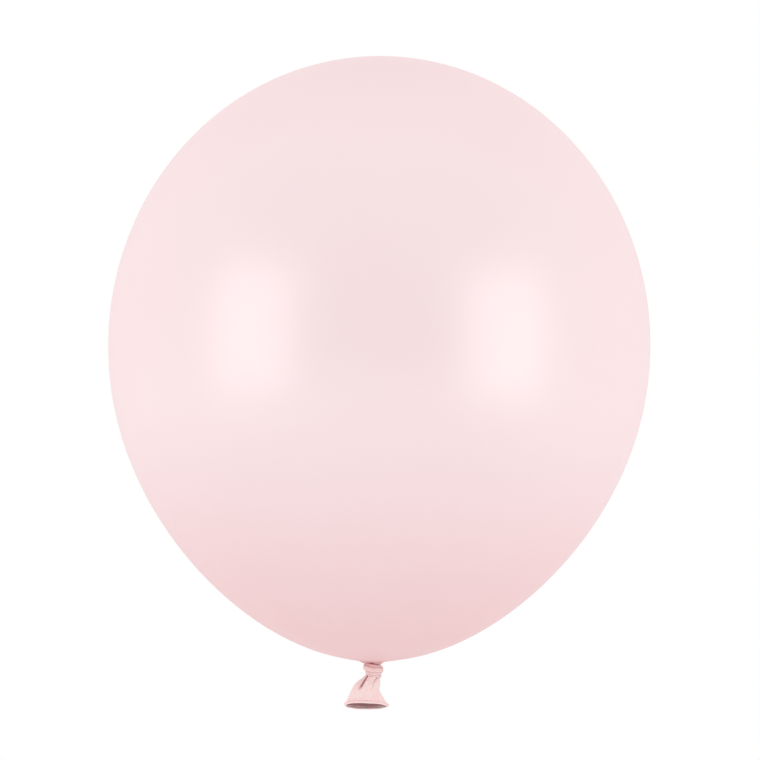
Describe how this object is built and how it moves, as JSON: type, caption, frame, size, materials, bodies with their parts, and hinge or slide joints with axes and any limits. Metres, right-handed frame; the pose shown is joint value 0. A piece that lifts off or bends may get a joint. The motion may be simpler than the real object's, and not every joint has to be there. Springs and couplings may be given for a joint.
{
  "type": "latex balloon",
  "caption": "Inflated round party balloon, a teardrop latex envelope tied off with an overhand knot above a short pleated tail with a rolled lip.",
  "frame": {"origin": "on the balloon's axis where the inflated skin meets the gathered neck, just above the knot", "axes": "+Z from the neck up through the middle of the envelope to the crown, +X to the right and -Y towards the viewer, the way the tail's mouth tilts"},
  "size_m": [0.3, 0.2998, 0.3621],
  "materials": {
    "latex_skin": "stretched latex, smooth, soft gloss, slightly translucent pale pink",
    "latex_gather": "thicker latex, pleated, satin, a deeper pink",
    "latex_knot": "unstretched latex, satin, pale pink with darker creases",
    "latex_tail": "unstretched latex, satin to matt, pale pink",
    "latex_lip": "rolled latex bead, glossy, slightly translucent pink"
  },
  "bodies": {
    "envelope": {"envelope": "latex_skin"},
    "gather": {"neck_gather": "latex_gather"},
    "neck": {"neck_strand": "latex_gather"},
    "knot": {"knot_core": "latex_knot", "knot_loop": "latex_knot", "knot_tuck": "latex_knot"},
    "throat": {"tail_throat": "latex_tail"},
    "tail": {"tail_skirt": "latex_tail", "rolled_lip": "latex_lip"}
  },
  "joints": [
    {"name": "neck_twist", "type": "hinge", "parent": "envelope", "child": "gather", "pos_m": [0, 0, 0], "axis": [0, 0, 1], "range_deg": [-60, 60], "stiffness_Nm_per_rad": 0.002},
    {"name": "neck_swing", "type": "hinge", "parent": "gather", "child": "neck", "pos_m": [0, 0, -0.0003], "axis": [0, 1, 0], "range_deg": [-12, 12], "stiffness_Nm_per_rad": 0.005},
    {"name": "neck_nod", "type": "hinge", "parent": "neck", "child": "knot", "pos_m": [0, 0, -0.0003], "axis": [1, 0, 0], "range_deg": [-12, 12], "stiffness_Nm_per_rad": 0.005},
    {"name": "tail_nod", "type": "hinge", "parent": "knot", "child": "throat", "pos_m": [0, 0, -0.00932], "axis": [1, 0, 0], "range_deg": [-7, 38], "stiffness_Nm_per_rad": 0.001},
    {"name": "tail_swing", "type": "hinge", "parent": "throat", "child": "tail", "pos_m": [0, 0, -0.00932], "axis": [0, 1, 0], "range_deg": [-25, 15], "stiffness_Nm_per_rad": 0.001}
  ]
}
